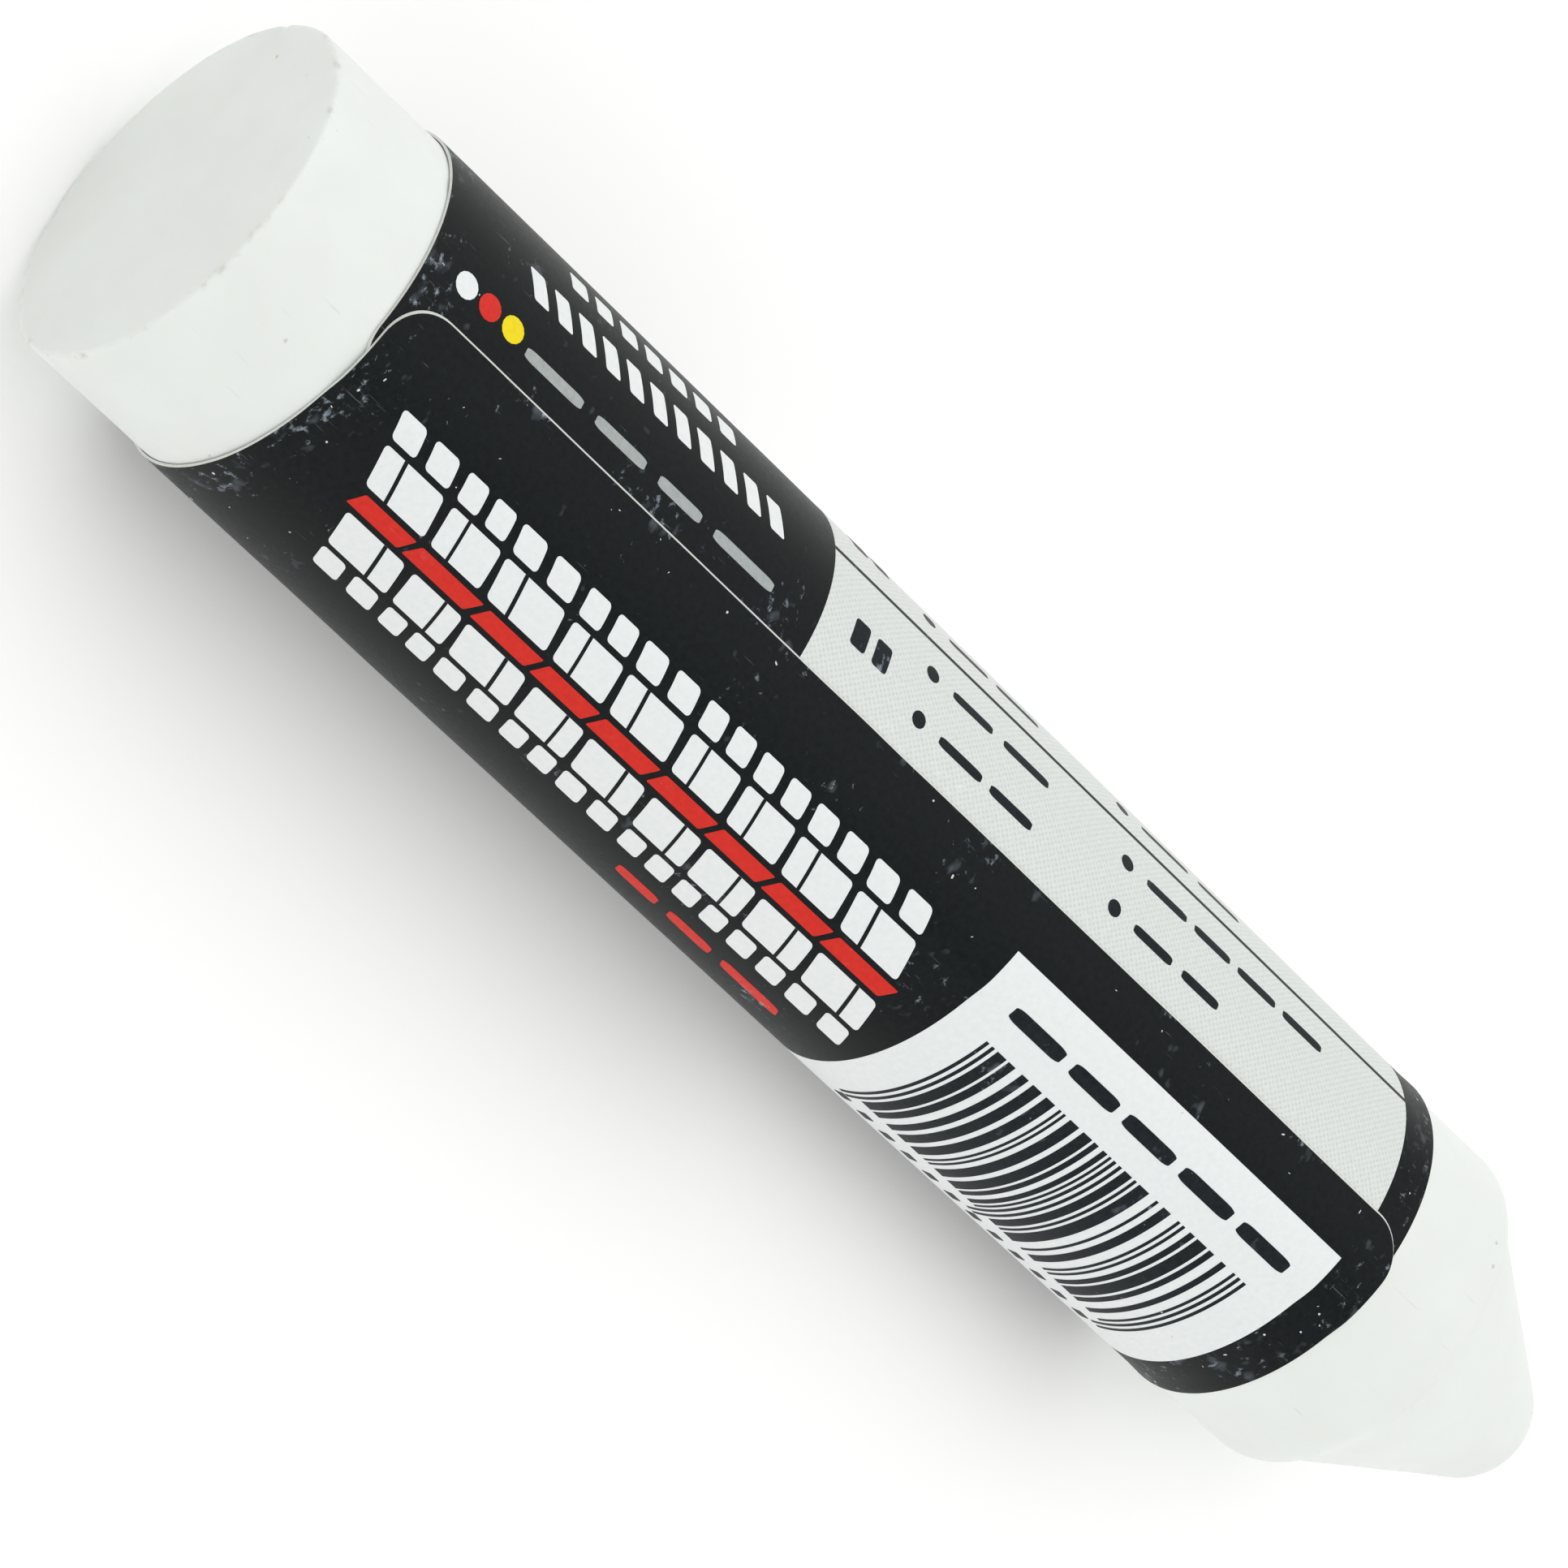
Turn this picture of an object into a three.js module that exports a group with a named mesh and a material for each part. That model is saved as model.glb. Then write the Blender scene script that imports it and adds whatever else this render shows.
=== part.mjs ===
import * as THREE from 'three';

// Tyre marking crayon: a moulded stick of white wax in a self-adhesive paper label.
// The label is one sheet, wound once round the stick and lapped over its own end.
// The crayon lies on its side. +X runs from the flat butt to the nose, +Z is up.
// The origin lies under its middle, on the surface it rests on. Millimetres.

const DEG = Math.PI / 180;

// Wax stick
const STICK_DIAMETER = 24;
const STICK_LENGTH = 125;              // butt face to the end of the nose
const BUTT_EDGE_RADIUS = 0.3;          // worn rim of the flat butt
const SHOULDER_RADIUS = 4;             // where the barrel turns into the nose
const SHOULDER_ANGLE = 47.5 * DEG;     // steepest slope of the shoulder
const NECK_RADIUS = 2.5;               // hollow blend from the shoulder to the cone
const CONE_HALF_ANGLE = 29.7 * DEG;
const TIP_RADIUS = 4;                  // blunt end of the nose

// Label
const BUTT_MARGIN = 9.3;               // bare wax between the butt and the label
const SHOULDER_MARGIN = 6.6;           // bare barrel between the label and the shoulder
const LABEL_THICKNESS = 0.16;          // printed paper
const BOND_CLEARANCE = 0.04;           // adhesive line under the paper
const LAP_WIDTH = 6;                   // how far the flap runs over the end beneath it
const RAMP_WIDTH = 2;                  // where the flap comes down off that end
const LABEL_CORNER_RADIUS = 3;         // die-cut corners of the sheet
const WRAP_SKEW = 0.35;                // how far one turn drifts along the stick

// Facets round the stick. The count is even, so that one facet faces straight down.
const FACETS = 60;
const EDGE_STEPS = 4;
const CURVE_STEPS = 8;

const FACET_ANGLE = 2 * Math.PI / FACETS;
const STICK_RADIUS = STICK_DIAMETER / 2;
const APOTHEM = STICK_RADIUS * Math.cos(FACET_ANGLE / 2);   // axis to the middle of a facet

// A profile is drawn by its heading, which is the slope below the stick's axis, in radians.
class ProfilePath {
  constructor(along, radius) {
    this.along = along;
    this.radius = radius;
    this.heading = 0;
    this.points = [new THREE.Vector2(radius, along)];
  }

  line(length) {
    this.along += length * Math.cos(this.heading);
    this.radius -= length * Math.sin(this.heading);
    this.points.push(new THREE.Vector2(this.radius, this.along));
  }

  // Turns to a new heading on an arc: outwards-bulging to a steeper one, hollow to a flatter one.
  arc(arcRadius, toHeading, steps) {
    const from = this.heading;
    const turn = Math.abs(toHeading - from);
    const chord = 2 * arcRadius * Math.sin(turn / (2 * steps));
    for (let i = 0; i < steps; i++) {
      this.heading = from + (toHeading - from) * (i + 0.5) / steps;
      this.line(chord);
    }
    this.heading = toHeading;
  }
}

// Drop towards the axis, and run along it, of an arc between two headings.
const arcDrop = (radius, from, to) => radius * Math.abs(Math.cos(from) - Math.cos(to));
const arcRun = (radius, from, to) => radius * Math.abs(Math.sin(to) - Math.sin(from));

const NOSE_HEADING = Math.PI / 2;
const CONE_DROP = STICK_RADIUS
  - arcDrop(SHOULDER_RADIUS, 0, SHOULDER_ANGLE)
  - arcDrop(NECK_RADIUS, SHOULDER_ANGLE, CONE_HALF_ANGLE)
  - arcDrop(TIP_RADIUS, CONE_HALF_ANGLE, NOSE_HEADING);
const CONE_SLANT = CONE_DROP / Math.sin(CONE_HALF_ANGLE);
const NOSE_LENGTH = arcRun(SHOULDER_RADIUS, 0, SHOULDER_ANGLE)
  + arcRun(NECK_RADIUS, SHOULDER_ANGLE, CONE_HALF_ANGLE)
  + CONE_SLANT * Math.cos(CONE_HALF_ANGLE)
  + arcRun(TIP_RADIUS, CONE_HALF_ANGLE, NOSE_HEADING);
const SHOULDER_START = STICK_LENGTH - NOSE_LENGTH;

// The moulded stick: flat butt, barrel, shoulder, hollow neck, cone and blunt tip in one revolve.
function waxStickGeometry() {
  const path = new ProfilePath(0, 0);
  path.heading = -NOSE_HEADING;
  path.line(STICK_RADIUS - BUTT_EDGE_RADIUS);
  path.arc(BUTT_EDGE_RADIUS, 0, EDGE_STEPS);
  path.line(SHOULDER_START - BUTT_EDGE_RADIUS);
  path.arc(SHOULDER_RADIUS, SHOULDER_ANGLE, CURVE_STEPS);
  path.arc(NECK_RADIUS, CONE_HALF_ANGLE, EDGE_STEPS);
  path.line(CONE_SLANT);
  path.arc(TIP_RADIUS, NOSE_HEADING, CURVE_STEPS);
  path.points.at(-1).x = 0;
  return new THREE.LatheGeometry(path.points, FACETS, FACET_ANGLE / 2);
}

// The label sheet is described by its angle round the stick, from the flap's edge on the top
// of the stick, once round, to the end hidden under the flap.
const PAPER_RADIUS = STICK_RADIUS + BOND_CLEARANCE + LABEL_THICKNESS / 2;
const LAP_ANGLE = LAP_WIDTH / PAPER_RADIUS;
const RAMP_ANGLE = RAMP_WIDTH / PAPER_RADIUS;
const WRAP_ANGLE = 2 * Math.PI + LAP_ANGLE;
const LABEL_START = BUTT_MARGIN;
const LABEL_END = SHOULDER_START - SHOULDER_MARGIN;
const LAP_STEP = LABEL_THICKNESS + BOND_CLEARANCE;

// Distance from the wax to the underside of the paper: one layer higher on the flap.
function paperHeight(angle) {
  const down = (angle - LAP_ANGLE - BOND_CLEARANCE / PAPER_RADIUS) / RAMP_ANGLE;
  return BOND_CLEARANCE + LAP_STEP * (1 - THREE.MathUtils.clamp(down, 0, 1));
}

// Radius of the point that lies a height over the stick's facet at this angle.
function facetRadius(angle, height) {
  const offCentre = angle - Math.round(angle / FACET_ANGLE) * FACET_ANGLE;
  return (APOTHEM + height) / Math.cos(offCentre);
}

// How far the rounded corners draw the sheet's edge in at this angle.
function cornerInset(angle) {
  const toEnd = Math.min(angle, WRAP_ANGLE - angle) * PAPER_RADIUS;
  const short = Math.max(LABEL_CORNER_RADIUS - toEnd, 0);
  return LABEL_CORNER_RADIUS - Math.sqrt(Math.max(LABEL_CORNER_RADIUS ** 2 - short ** 2, 0));
}

// Angles of the sheet's creases: the stick's facet edges, the corner curves and the lap's ramp.
function sheetStations() {
  const angles = [LAP_ANGLE + BOND_CLEARANCE / PAPER_RADIUS,
    LAP_ANGLE + BOND_CLEARANCE / PAPER_RADIUS + RAMP_ANGLE];
  for (let edge = FACET_ANGLE / 2; edge < WRAP_ANGLE; edge += FACET_ANGLE) {
    angles.push(edge);
  }
  for (let i = 0; i <= CURVE_STEPS; i++) {
    const reach = LABEL_CORNER_RADIUS * (1 - Math.cos(i / CURVE_STEPS * Math.PI / 2)) / PAPER_RADIUS;
    angles.push(reach, WRAP_ANGLE - reach);
  }
  angles.sort((a, b) => a - b);
  const closest = 1e-3;
  return angles.filter((angle, i) => i === 0 || angle - angles[i - 1] > closest);
}

// A thin closed shell. Each crease has four corners: outside and inside, at both edges.
function labelGeometry() {
  const positions = [];
  const indices = [];
  const addPoint = (along, angle, radius) => {
    positions.push(radius * Math.sin(angle), along, radius * Math.cos(angle));
  };
  const stations = sheetStations();
  for (const angle of stations) {
    const inset = cornerInset(angle);
    const drift = WRAP_SKEW * (1 - angle / (2 * Math.PI));
    const inner = facetRadius(angle, paperHeight(angle));
    const outer = facetRadius(angle, paperHeight(angle) + LABEL_THICKNESS);
    addPoint(LABEL_START + inset + drift, angle, outer);
    addPoint(LABEL_END - inset + drift, angle, outer);
    addPoint(LABEL_END - inset + drift, angle, inner);
    addPoint(LABEL_START + inset + drift, angle, inner);
  }
  const addQuad = (a, b, c, d) => indices.push(a, b, c, a, c, d);
  for (let row = 0; row < stations.length - 1; row++) {
    const here = row * 4;
    const next = here + 4;
    for (let side = 0; side < 4; side++) {
      const after = (side + 1) % 4;
      addQuad(here + side, next + side, next + after, here + after);
    }
  }
  const last = (stations.length - 1) * 4;
  addQuad(0, 1, 2, 3);
  addQuad(last + 3, last + 2, last + 1, last);
  const geometry = new THREE.BufferGeometry();
  geometry.setAttribute('position', new THREE.Float32BufferAttribute(positions, 3));
  geometry.setIndex(indices);
  geometry.computeVertexNormals();
  return geometry;
}

const waxMaterial = new THREE.MeshStandardMaterial({ color: 0xeef1ee, roughness: 0.55, metalness: 0 });
const labelMaterial = new THREE.MeshStandardMaterial({ color: 0x2a2e2d, roughness: 0.45, metalness: 0 });

const waxStick = new THREE.Mesh(waxStickGeometry(), waxMaterial);
waxStick.name = 'wax_stick';

const label = new THREE.Mesh(labelGeometry(), labelMaterial);
label.name = 'label';

// Both pieces stand on the butt, about the Y axis, until the crayon is laid down on the label.
const crayon = new THREE.Group();
crayon.add(waxStick, label);
crayon.rotation.z = -Math.PI / 2;
crayon.position.set(-STICK_LENGTH / 2, 0, APOTHEM + BOND_CLEARANCE + LABEL_THICKNESS);

const group = new THREE.Group();
group.add(crayon);

export default group;
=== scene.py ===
"""The looks of a tyre marking crayon: a cast stick of white wax in a wound, printed paper label.

The label is laid out flat, in sheet coordinates: x runs along the stick from the label's edge by
the butt, y runs round it from the flap's edge, and z is the height over the printed face. One
Geometry Nodes group then winds the paper, its lap and every print round the stick together.
"""

import logging
import math
import random
from dataclasses import dataclass, field, fields, replace
from enum import Enum
from functools import partial, reduce
from typing import Callable, NamedTuple

import bpy
import numpy as np
from bpy.types import ID, Material, Node, NodeOutputs, NodeSocket, NodeTree, Object
from mathutils import Matrix, Quaternion, Vector, noise


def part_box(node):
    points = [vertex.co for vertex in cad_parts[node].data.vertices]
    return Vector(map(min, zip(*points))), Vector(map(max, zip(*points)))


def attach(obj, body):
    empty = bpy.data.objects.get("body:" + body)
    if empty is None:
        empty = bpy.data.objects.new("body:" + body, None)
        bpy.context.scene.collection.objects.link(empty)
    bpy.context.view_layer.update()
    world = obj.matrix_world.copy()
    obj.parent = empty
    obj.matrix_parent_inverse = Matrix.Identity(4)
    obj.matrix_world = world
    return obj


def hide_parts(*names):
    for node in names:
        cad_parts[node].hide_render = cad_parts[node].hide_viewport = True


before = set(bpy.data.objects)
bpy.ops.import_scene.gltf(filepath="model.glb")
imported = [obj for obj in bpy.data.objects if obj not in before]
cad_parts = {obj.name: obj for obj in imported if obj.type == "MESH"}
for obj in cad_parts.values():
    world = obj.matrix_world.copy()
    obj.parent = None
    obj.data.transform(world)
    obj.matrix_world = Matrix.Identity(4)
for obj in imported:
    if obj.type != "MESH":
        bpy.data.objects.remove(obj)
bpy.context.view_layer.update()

BODY = "root"
MM = 0.001
LOG = logging.getLogger("crayon")

WAX_LOW, WAX_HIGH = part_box("wax_stick")
LABEL_LOW, LABEL_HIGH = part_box("label")

# The stick lies along X, its butt at the low end.
STICK_RADIUS = (WAX_HIGH.y - WAX_LOW.y) / 2
STICK_LENGTH = WAX_HIGH.x - WAX_LOW.x
AXIS_HEIGHT = (WAX_HIGH.z + WAX_LOW.z) / 2
BUTT = WAX_LOW.x

# The paper sheet, as the solid has it. Its turn is measured on the printed face.
PAPER_THICKNESS = 0.16 * MM
BOND_THICKNESS = 0.04 * MM
LAP_WIDTH = 6 * MM
CORNER_RADIUS = 3 * MM
WRAP_SKEW = 0.35 * MM
PAPER_RADIUS = (LABEL_HIGH.y - LABEL_LOW.y) / 2
ONE_TURN = 2 * math.pi * PAPER_RADIUS
SHEET_WIDTH = ONE_TURN + LAP_WIDTH
SHEET_LENGTH = LABEL_HIGH.x - LABEL_LOW.x - WRAP_SKEW

# Ink is a thin skin, sunk a little into what it is printed on. A mark on a panel is one layer up.
INK_SINK = 0.004 * MM
INK_HEIGHT = 0.010 * MM
INK_LAYER = 0.012 * MM

# Node types that come up often, each with any settings that go with it.
PLUS = "ShaderNodeMath operation=ADD"
MINUS = "ShaderNodeMath operation=SUBTRACT"
TIMES = "ShaderNodeMath operation=MULTIPLY"
OVER = "ShaderNodeMath operation=DIVIDE"
TIMES_PLUS = "ShaderNodeMath operation=MULTIPLY_ADD"
POWER = "ShaderNodeMath operation=POWER"
SINE = "ShaderNodeMath operation=SINE"
COSINE = "ShaderNodeMath operation=COSINE"
MINIMUM = "ShaderNodeMath operation=MINIMUM"
MAXIMUM = "ShaderNodeMath operation=MAXIMUM"
GREATER = "ShaderNodeMath operation=GREATER_THAN"
RANGE = "ShaderNodeMapRange"
SMOOTH = "ShaderNodeMapRange interpolation_type=SMOOTHSTEP"
BLEND = "ShaderNodeMix data_type=RGBA"
NOISE = "ShaderNodeTexNoise"
CELLS = "ShaderNodeTexVoronoi"
VECTOR = "ShaderNodeVectorMath"
COMBINE = "ShaderNodeCombineXYZ"
SEPARATE = "ShaderNodeSeparateXYZ"
SEPARATE_COLOUR = "ShaderNodeSeparateColor"
MAPPING = "ShaderNodeMapping"
SHEET_PLACE = "ShaderNodeAttribute attribute_name=sheet"
BUMP = "ShaderNodeBump"
SURFACE = "ShaderNodeBsdfPrincipled"
OUTPUT = "ShaderNodeOutputMaterial"

Pair = tuple[float, float]
Triple = tuple[float, float, float]
Face = tuple[int, ...]
Adder = Callable[..., Node]


class Slot(Enum):
    """The record's material slots."""

    WAX = "wax"
    LABEL = "printed_label"


class Ink(Enum):
    """What a printed motif is made of. The white is bare coated paper between the inks."""

    BLACK = "black"
    WHITE = "white"
    GREY = "grey"
    DARK = "dark"
    RED = "red"
    YELLOW = "yellow"
    SILVER = "silver"


class Ramp(NamedTuple):
    """How a pattern is read: low up to its start, high from its end on, and rising in between."""

    start: float
    end: float
    low: float = 0.0
    high: float = 1.0


def linear(hex_code: str) -> tuple[float, float, float, float]:
    """Turns an sRGB hex colour to linear.

    Args:
        hex_code: Six hex digits, such as "d9dedc".

    Returns:
        Linear red, green and blue, and an alpha of 1.
    """
    parts = [int(hex_code[i:i + 2], 16) / 255 for i in (0, 2, 4)]
    turned = [p / 12.92 if p <= 0.04045 else ((p + 0.055) / 1.055) ** 2.4 for p in parts]
    return (*turned, 1.0)


def add(tree: NodeTree, kind: str, inputs: dict | list | tuple = (), **settings: object) -> Node:
    """Adds a node with its settings, and sets or links its inputs.

    Args:
        tree: The node tree it goes into.
        kind: Blender's name of the node type, then any settings that go with it.
        inputs: Values, sockets, or nodes whose first output is meant, in order or by input name.
        settings: The node's other settings.

    Returns:
        The new node.
    """
    kind, *more = kind.split()
    node = tree.nodes.new(kind)
    for name, value in [*(word.split("=") for word in more), *settings.items()]:
        setattr(node, name, value)
    live = [socket for socket in node.inputs if socket.enabled]
    for key, value in inputs.items() if isinstance(inputs, dict) else enumerate(inputs):
        socket = live[key] if isinstance(key, int) else next(s for s in live if s.name == key)
        if isinstance(value, Node):
            value = next(output for output in value.outputs if output.enabled)
        if isinstance(value, NodeSocket):
            tree.links.new(value, socket)
        else:
            socket.default_value = value
    return node


def put_in_scene(name: str, data: ID) -> Object:
    """Makes an object of a mesh, a lamp or a camera, and links it.

    Args:
        name: The object's name.
        data: What it holds.

    Returns:
        The linked object, at the origin.
    """
    thing = bpy.data.objects.new(name, data)
    bpy.context.scene.collection.objects.link(thing)
    return thing


def dress(piece: Object, slot: Slot, *replaced: str) -> Object:
    """Says what a finished piece rides on and stands for.

    Args:
        piece: The finished piece.
        slot: Not used.
        replaced: The solids it stands for.

    Returns:
        The same piece.
    """
    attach(piece, BODY)
    if replaced:
        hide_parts(*replaced)
    return piece


@dataclass(frozen=True)
class Winding:
    """How a flat sheet goes round the stick. Each field is a named input of the trees."""

    paper_radius: float = PAPER_RADIUS
    axis_height: float = AXIS_HEIGHT
    sheet_start: float = LABEL_LOW.x
    sheet_length: float = SHEET_LENGTH
    lap_width: float = LAP_WIDTH
    lap_step: float = PAPER_THICKNESS + BOND_THICKNESS
    ramp_width: float = 2 * MM
    wrap_skew: float = WRAP_SKEW
    loose_width: float = 1.4 * MM
    edge_lift: float = 0.05 * MM
    waviness: float = 0.05 * MM
    wave_length: float = 11 * MM


@dataclass(frozen=True)
class Row:
    """How one motif is repeated, as a line of type is set.

    Each field is a named input of the trees. A copy's length is its unit times a random stretch,
    and the gap after it is a random share of the unit. The whole row, its last gap included, is
    then fitted to its span.
    """

    count: int = 1
    unit: float = 0.0
    span: float = 0.0
    start_along: float = 0.0
    start_around: float = 0.0
    layer: float = 0.0
    least_stretch: float = 1.0
    most_stretch: float = 1.0
    least_gap: float = 0.0
    most_gap: float = 0.0
    step: float = 0.001
    bias: float = 1.0
    seed: int = 0

    @classmethod
    def even(cls, count: int, span: float, gap: float, **more: float) -> "Row":
        """Sets a row whose gaps are all the same share of its unit."""
        return cls(count=count, span=span, least_gap=gap, most_gap=gap, **more)


class WindingTrees:
    """The Geometry Nodes trees that repeat flat motifs and wind them round the stick."""

    # Where the noise lets an edge go, and how far up the side the table presses the paper home.
    LET_GO = Ramp(0.45, 0.62)
    PRESSED = Ramp(-1.0, -0.75)

    # A row's gaps take other draws than its stretches. The reach stays just inside its last step.
    GAP_SALT = 97
    REACH = 0.999

    # A crumb is a squashed ball: the least and the most of its length, width and height.
    CRUMB_LEAST = (0.3, 0.3, 0.12)
    CRUMB_MOST = (1.8, 1.1, 0.4)
    CRUMB_LUMPS = 0.8
    NOISE_MIDDLE = (0.5, 0.5, 0.5)

    def __init__(self) -> None:
        """Builds the winding group first, then the trees that use it."""
        self.winding = self._build_winding()
        self.row = self._build_row()
        self.crumbs = self._build_crumbs()

    @staticmethod
    def _new_tree(name: str, *sizes: type) -> tuple[NodeTree, Adder, NodeOutputs]:
        """Starts a tree with a geometry input and output and a named input for each size.

        Args:
            name: The tree's name.
            sizes: The dataclasses whose fields are its inputs.

        Returns:
            The tree, what adds a node to it, and the outputs of its group input.
        """
        tree = bpy.data.node_groups.new(name, "GeometryNodeTree")
        kinds = {size.name: "Int" if size.type is int else "Float"
                 for group in sizes for size in fields(group)}
        if Row in sizes:
            kinds |= {"face": "Material", "edge": "Material"}
        for socket, kind in {"Geometry": "Geometry", **kinds}.items():
            tree.interface.new_socket(socket, in_out="INPUT", socket_type=f"NodeSocket{kind}")
        tree.interface.new_socket("Geometry", in_out="OUTPUT", socket_type="NodeSocketGeometry")
        put = partial(add, tree)
        return tree, put, put("NodeGroupInput").outputs

    def _build_winding(self) -> NodeTree:
        """Makes the group that takes a flat sheet round the stick.

        Returns:
            A group with a geometry input, the winding's sizes, and a geometry output.
        """
        tree, put, given = self._new_tree("wind_round_stick", Winding)
        along, around, above = put(SEPARATE, [put("GeometryNodeInputPosition")]).outputs
        angle = put(OVER, (around, given["paper_radius"]))
        sine = put(SINE, [angle])
        cosine = put(COSINE, [angle])

        # The flap lies one layer up over the end beneath it, then comes down on a soft ramp.
        ramp_end = put(PLUS, (given["lap_width"], given["ramp_width"]))
        lap = put(SMOOTH, (around, given["lap_width"], ramp_end, given["lap_step"], 0.0))

        # Paper never lies dead flat: slow waves, read where it lies, so both layers share them.
        spot = put(COMBINE, (along, *(put(TIMES, (part, given["paper_radius"]))
                                      for part in (sine, cosine))))
        frequency = put(OVER, (1.0, given["wave_length"]))
        waves = put(NOISE, {"Vector": spot, "Scale": frequency, "Detail": 1.0, "Roughness": 0.4})
        wave = put(TIMES, (waves, given["waviness"]))

        # The cut edges let go of the wax here and there.
        far_end = put(MINUS, (given["sheet_length"], along))
        to_edge = put(MINIMUM, (put(MINIMUM, (along, far_end)), around))
        loose = put(SMOOTH, (to_edge, 0.0, given["loose_width"], given["edge_lift"], 0.0))
        patches = put(NOISE, {"Vector": spot, "Scale": frequency, "Detail": 2.0})
        lift = put(TIMES, (loose, put(SMOOTH, (patches, *self.LET_GO))))

        # Where the crayon rests on its label, the paper is pressed home.
        free = put(SMOOTH, (cosine, *self.PRESSED))
        swell = put(TIMES, (put(PLUS, (wave, lift)), free))
        height = put(PLUS, (put(PLUS, (above, lap)), swell))
        radius = put(PLUS, (height, given["paper_radius"]))
        to_go = put(MINUS, (1.0, put(OVER, (angle, math.tau))))
        from_start = put(PLUS, (along, put(TIMES, (to_go, given["wrap_skew"]))))
        wound = put(COMBINE, (put(PLUS, (from_start, given["sheet_start"])),
                              put(TIMES, (put(TIMES, (sine, radius)), -1.0)),
                              put(TIMES_PLUS, (cosine, radius, given["axis_height"]))))
        moved = put("GeometryNodeSetPosition", {"Geometry": given["Geometry"], "Position": wound})
        put("NodeGroupOutput", [moved])
        return tree

    def _sized(self, put: Adder, given: NodeOutputs, size: str, salt: int = 0) -> Node:
        """Adds a random size in whole steps.

        Args:
            put: Adds a node to the tree.
            given: The outputs of its group input.
            size: Which of the row's sizes it is.
            salt: Added to the row's seed, so that two sizes of one row differ.

        Returns:
            The node that gives each point its size.
        """
        least, most = given[f"least_{size}"], given[f"most_{size}"]
        seed = put(PLUS, (given["seed"], float(salt)))
        chance = put("FunctionNodeRandomValue data_type=FLOAT", {"Seed": seed})
        share = put(POWER, (chance, given["bias"]))
        reach = put(TIMES_PLUS, (given["step"], self.REACH, put(MINUS, (most, least))))
        drawn = put(TIMES_PLUS, (share, reach, least))
        return put("ShaderNodeMath operation=SNAP", (drawn, given["step"]))

    def _build_row(self) -> NodeTree:
        """Makes the tree that repeats one flat motif along the sheet.

        Returns:
            The modifier tree.
        """
        tree, put, given = self._new_tree("printed_row", Row, Winding)
        start = put(COMBINE, (given["start_along"], given["start_around"], given["layer"]))
        line = put("GeometryNodeMeshLine",
                   {"Count": given["count"], "Start Location": start, "Offset": (0.0, 0.0, 0.0)})
        stretch = self._sized(put, given, "stretch")
        gap = self._sized(put, given, "gap", self.GAP_SALT)
        taken = put(PLUS, (stretch, gap))
        summed = put("GeometryNodeAccumulateField data_type=FLOAT", [taken]).outputs
        fitted = put(OVER, (given["span"], summed["Total"]))
        shift = put(TIMES, (summed["Trailing"], fitted))
        offset = put(COMBINE, [shift])
        placed = put("GeometryNodeSetPosition", {"Geometry": line, "Offset": offset})
        scale = put(COMBINE, (put(OVER, (put(TIMES, (stretch, fitted)), given["unit"])), 1.0, 1.0))
        copies = put("GeometryNodeInstanceOnPoints",
                     {"Points": placed, "Instance": given["Geometry"], "Scale": scale})
        self._finish(put, given, copies)
        return tree

    def _build_crumbs(self) -> NodeTree:
        """Makes the tree that sets a small squashed lump of wax on each point of a flat scatter.

        Returns:
            The modifier tree.
        """
        tree, put, given = self._new_tree("wax_crumbs", Row, Winding)
        ball = put("GeometryNodeMeshIcoSphere", {"Radius": given["unit"], "Subdivisions": 1})
        lumps = put(NOISE, {"Scale": put(OVER, (self.CRUMB_LUMPS, given["unit"]))})
        push = put(VECTOR, (lumps.outputs["Color"], self.NOISE_MIDDLE), operation="SUBTRACT")
        knock = put(VECTOR, (push, given["unit"]), operation="SCALE")
        lump = put("GeometryNodeSetPosition", {"Geometry": ball, "Offset": knock})
        size, spin = (put("FunctionNodeRandomValue data_type=FLOAT_VECTOR",
                          {"Min": least, "Max": most, "Seed": given["seed"]})
                      for least, most in ((self.CRUMB_LEAST, self.CRUMB_MOST),
                                          ((0.0, 0.0, 0.0), (0.0, 0.0, math.tau))))
        copies = put("GeometryNodeInstanceOnPoints",
                     {"Points": given["Geometry"], "Instance": lump, "Rotation": spin,
                      "Scale": size})
        self._finish(put, given, copies)
        return tree

    def _finish(self, put: Adder, given: NodeOutputs, flat: Node) -> None:
        """Ends a tree: keeps the sheet coordinates, winds, realizes and sets the materials.

        Args:
            put: Adds a node to the tree.
            given: The outputs of its group input.
            flat: The node that gives the flat geometry.
        """
        solid = put("GeometryNodeRealizeInstances", [flat])
        kept = put("GeometryNodeStoreNamedAttribute data_type=FLOAT_VECTOR domain=POINT",
                   {"Geometry": solid, "Name": "sheet", "Value": put("GeometryNodeInputPosition")})
        sizes = {size.name: given[size.name] for size in fields(Winding)}
        wound = put("GeometryNodeGroup", {"Geometry": kept, **sizes}, node_tree=self.winding)
        printed = put("GeometryNodeInputNamedAttribute data_type=BOOLEAN", {"Name": "printed"})
        whole = put("GeometryNodeRealizeInstances", [wound])
        cut = put("GeometryNodeSetMaterial", {"Geometry": whole, "Material": given["edge"]})
        face = put("GeometryNodeSetMaterial",
                   {"Geometry": cut, "Selection": printed, "Material": given["face"]})
        put("NodeGroupOutput", [face])


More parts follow.
